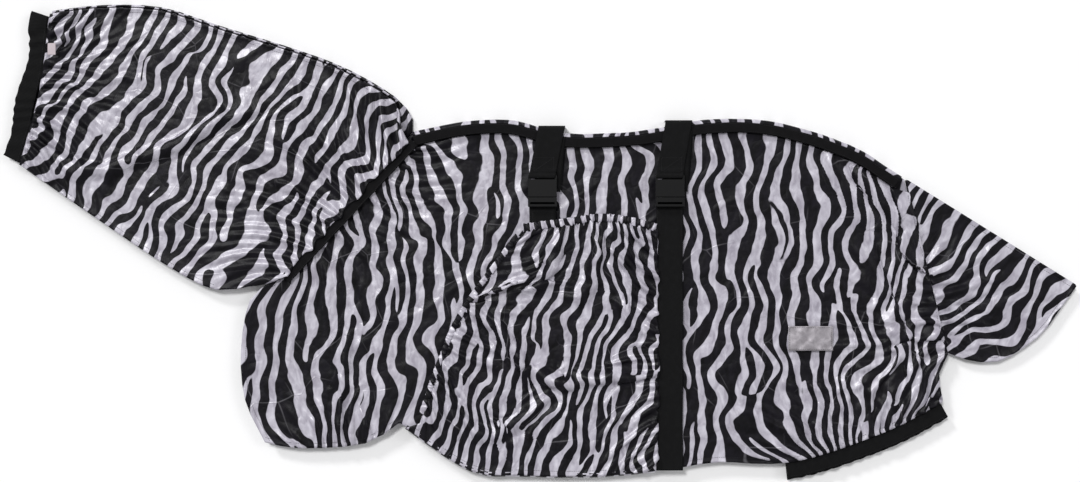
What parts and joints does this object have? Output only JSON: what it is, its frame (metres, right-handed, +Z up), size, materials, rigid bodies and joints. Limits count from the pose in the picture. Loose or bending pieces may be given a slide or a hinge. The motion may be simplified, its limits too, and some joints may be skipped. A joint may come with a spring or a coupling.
{
  "type": "fly sheet",
  "caption": "Full-coverage pony fly sheet with neck cover, belly flap and tail flap, folded along the spine and lying flat, with webbing straps and side-release buckles.",
  "frame": {"origin": "centre of the bounding box at the surface that the folded sheet lies on", "axes": "+X toward the tail along the longest extent, +Y toward the spine, +Z up through the folded layers, the shortest extent"},
  "size_m": [2.0263, 0.8993, 0.0418],
  "materials": {
    "striped_cloth": "zebra-striped satin-faced woven polyester, light lavender grey and near black",
    "black_webbing": "matt ribbed polypropylene webbing",
    "black_elastic": "matt ribbed woven elastic",
    "hook_and_loop": "black hook-and-loop tape",
    "black_plastic": "moulded acetal, satin",
    "reflective_film": "silver reflective film, blank",
    "white_label": "white satin label tape, blank"
  },
  "bodies": {
    "sheet": {"far_side_panel": "striped_cloth", "near_side_panel": "striped_cloth", "spine_binding": "black_webbing", "near_neckline_binding": "black_webbing", "far_neckline_binding": "black_webbing", "chest_loop_strip": "hook_and_loop", "chest_hook_strip": "hook_and_loop", "front_hem_elastic_far": "black_elastic", "front_hem_elastic_near": "black_elastic", "rear_hem_elastic_near": "black_elastic", "rear_hem_elastic_far": "black_elastic", "belly_flap": "striped_cloth", "belly_flap_fold": "striped_cloth", "flap_top_elastic": "black_elastic", "flap_front_elastic": "black_elastic", "front_strap": "black_webbing", "front_strap_tail": "black_webbing", "rear_strap": "black_webbing", "rear_strap_tail": "black_webbing", "front_flap_tab": "black_webbing", "rear_girth_band": "black_webbing", "front_buckle_socket": "black_plastic", "rear_buckle_socket": "black_plastic", "reflective_patch": "reflective_film"},
    "neck_cover": {"neck_far_panel": "striped_cloth", "neck_near_panel": "striped_cloth", "crest_tape": "black_webbing", "throat_loop_strip": "hook_and_loop", "throat_hook_strip": "hook_and_loop", "poll_elastic_near": "black_elastic", "poll_elastic_far": "black_elastic", "care_label": "white_label"},
    "tail_flap": {"tail_flap_far_half": "striped_cloth", "tail_flap_near_half": "striped_cloth"},
    "front_clip": {"front_clip": "black_plastic"},
    "front_clip_arm_left": {"front_clip_arm_left": "black_plastic"},
    "front_clip_arm_right": {"front_clip_arm_right": "black_plastic"},
    "rear_clip": {"rear_clip": "black_plastic"},
    "rear_clip_arm_left": {"rear_clip_arm_left": "black_plastic"},
    "rear_clip_arm_right": {"rear_clip_arm_right": "black_plastic"}
  },
  "joints": [
    {"name": "neck_cover_fold", "type": "hinge", "parent": "sheet", "child": "neck_cover", "pos_m": [-0.24078, 0.2071, 0.0303], "axis": [0.6829, 0.7305, 0], "range_deg": [0, 165]},
    {"name": "tail_flap_fold", "type": "hinge", "parent": "sheet", "child": "tail_flap", "pos_m": [0.69007, 0.11894, 0.0285], "axis": [0.2322, -0.9727, 0], "range_deg": [0, 165]},
    {"name": "front_clip_slide", "type": "slide", "parent": "sheet", "child": "front_clip", "axis": [0, -1, 0], "range_m": [0, 0.022]},
    {"name": "front_arm_left_squeeze", "type": "hinge", "parent": "front_clip", "child": "front_clip_arm_left", "pos_m": [-0.00797, 0.0865, 0.0361], "axis": [0, 0, -1], "range_deg": [0, 6], "stiffness_Nm_per_rad": 0.2},
    {"name": "front_arm_right_squeeze", "type": "hinge", "parent": "front_clip", "child": "front_clip_arm_right", "pos_m": [0.01703, 0.0865, 0.0361], "axis": [0, 0, 1], "range_deg": [0, 6], "stiffness_Nm_per_rad": 0.2},
    {"name": "rear_clip_slide", "type": "slide", "parent": "sheet", "child": "rear_clip", "axis": [0, -1, 0], "range_m": [0, 0.022]},
    {"name": "rear_arm_left_squeeze", "type": "hinge", "parent": "rear_clip", "child": "rear_clip_arm_left", "pos_m": [0.23071, 0.0865, 0.0361], "axis": [0, 0, -1], "range_deg": [0, 6], "stiffness_Nm_per_rad": 0.2},
    {"name": "rear_arm_right_squeeze", "type": "hinge", "parent": "rear_clip", "child": "rear_clip_arm_right", "pos_m": [0.25571, 0.0865, 0.0361], "axis": [0, 0, 1], "range_deg": [0, 6], "stiffness_Nm_per_rad": 0.2}
  ],
  "couplings": [
    {"joint": "front_arm_right_squeeze", "follows": "front_arm_left_squeeze", "ratio": 1},
    {"joint": "rear_arm_right_squeeze", "follows": "rear_arm_left_squeeze", "ratio": 1}
  ]
}
